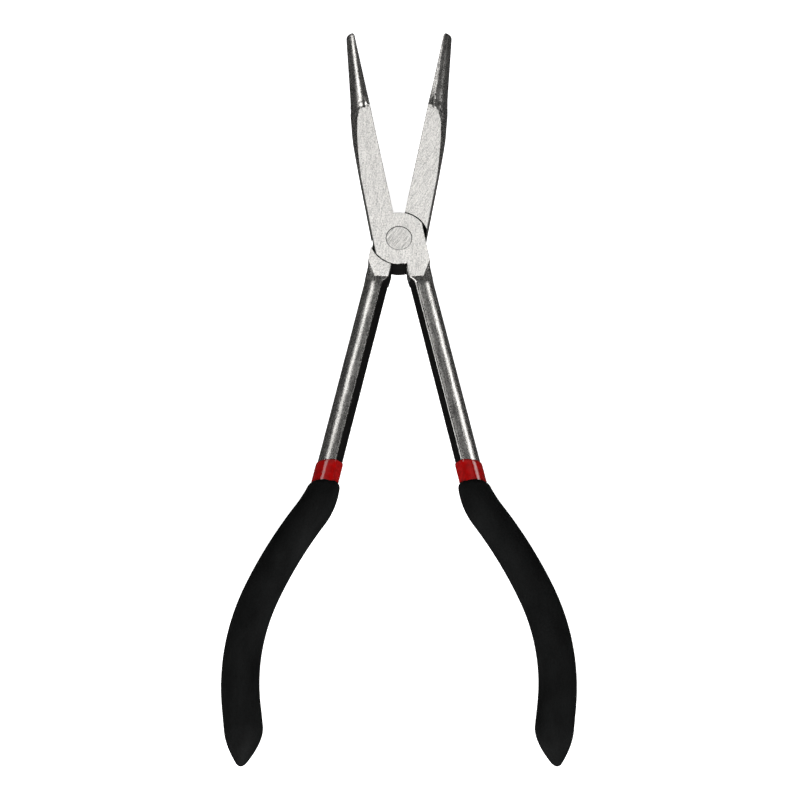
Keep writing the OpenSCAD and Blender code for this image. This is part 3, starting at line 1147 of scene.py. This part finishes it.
class PLIERS_OT_stage(Operator):
    """Sets up the floor, the lights and the camera"""
    bl_idname = "pliers.stage"
    bl_label = "Stage"

    def execute(self, context):
        stage, scene = context.scene.pliers_stage, context.scene
        low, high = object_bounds()
        target = Vector((0.00035, -0.059, (low.z + high.z) / 2))
        make_camera(scene, target, stage)
        make_floor(low.z - 0.0005)
        left, right = Vector((-0.02, -0.03, 0)), Vector((0.04, -0.07, 0))
        jaws = Vector((0, 0.065, 0))
        light("left_light", left + Vector((-0.92, 0.98, 1.5)), left, (0.6, 0.6), stage.left)
        light("jaw_light", jaws + Vector((-0.09, 0.105, 0.21)), jaws, (0.06, 0.09), stage.jaws)
        light("right_light", right + Vector((0.24, 0.2, 0.2)), right, (0.18, 0.16), stage.right, 30)
        light("front_light", target + Vector((0, -0.95, 0.62)), target, (1.4, 0.5), stage.front)
        light("top_light", target + Vector((0, 0.5, 0.85)), target, (0.9, 0.4), stage.top)
        world = bpy.data.worlds.new("studio")
        world.use_nodes = True
        fill = 0.055
        world.node_tree.nodes["Background"].inputs["Color"].default_value = (fill, fill, fill, 1)
        scene.world = world
        scene.view_settings.view_transform = "Standard"
        return {"FINISHED"}


def make_camera(scene, target, stage):
    camera = bpy.data.objects.new("camera", bpy.data.cameras.new("camera"))
    scene.collection.objects.link(camera)
    back = Vector((0, -math.cos(stage.elevation), math.sin(stage.elevation)))
    camera.location = target + back * stage.distance
    camera.rotation_mode = "QUATERNION"
    camera.rotation_quaternion = (-back).to_track_quat("-Z", "Y")
    camera.data.lens = stage.lens
    camera.data.sensor_width = 36
    camera.data.clip_start, camera.data.clip_end = 0.05, 20
    scene.camera = camera


def make_floor(z):
    """A plain white floor that lights nothing in the steel's reflections."""
    half = 3.0
    mesh = bpy.data.meshes.new("floor")
    corners = [(-half, -half, z), (half, -half, z), (half, half, z), (-half, half, z)]
    mesh.from_pydata(corners, [], [(0, 1, 2, 3)])
    floor = linked("floor", mesh)
    material = bpy.data.materials.new("white_floor")
    material.use_nodes = True
    surface = material.node_tree.nodes["Principled BSDF"]
    surface.inputs["Base Color"].default_value = (0.9, 0.9, 0.9, 1)
    surface.inputs["Roughness"].default_value = 0.9
    surface.inputs["Emission Color"].default_value = (1, 1, 1, 1)
    surface.inputs["Emission Strength"].default_value = 0.9
    mesh.materials.append(material)
    floor.visible_glossy = False
    floor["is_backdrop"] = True


def light(name, place, target, size, power, spread=180):
    """An area light that faces the target, its second size as near as can be along Y."""
    data = bpy.data.lights.new(name, "AREA")
    data.shape = "RECTANGLE"
    data.size, data.size_y = size
    data.energy = power
    data.spread = math.radians(spread)
    lamp = linked(name, data)
    back = (place - target).normalized()
    along = (Vector((0, 1, 0)) - back * back.y).normalized()
    turn = Matrix((along.cross(back), along, back)).transposed()
    lamp.matrix_world = Matrix.Translation(place) @ turn.to_4x4()


class PLIERS_PT_panel(Panel):
    """Lists the steps that build the pliers"""
    bl_idname = "PLIERS_PT_panel"
    bl_label = "Needle nose pliers"
    bl_space_type = "VIEW_3D"
    bl_region_type = "UI"
    bl_category = "Pliers"

    def draw(self, context):
        for group in (context.scene.pliers_looks, context.scene.pliers_grip, context.scene.pliers_stage):
            for name in group.__annotations__:
                self.layout.prop(group, name)
        for step in STEPS:
            self.layout.operator(step.bl_idname)


GROUPS = {"pliers_looks": PliersLooks, "pliers_grip": PliersGrip, "pliers_stage": PliersStage}
STEPS = (PLIERS_OT_levers, PLIERS_OT_rivet, PLIERS_OT_sleeves, PLIERS_OT_grips, PLIERS_OT_stage)


def register():
    for made in (*GROUPS.values(), *STEPS, PLIERS_PT_panel):
        bpy.utils.register_class(made)
    for name, group in GROUPS.items():
        setattr(bpy.types.Scene, name, PointerProperty(type=group))


def unregister():
    for name in GROUPS:
        delattr(bpy.types.Scene, name)
    for made in reversed((*GROUPS.values(), *STEPS, PLIERS_PT_panel)):
        bpy.utils.unregister_class(made)


def main():
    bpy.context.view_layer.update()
    register()
    bpy.ops.pliers.levers()
    bpy.ops.pliers.rivet()
    bpy.ops.pliers.sleeves()
    bpy.ops.pliers.grips()
    bpy.ops.pliers.stage()


if __name__ == "__main__":
    main()
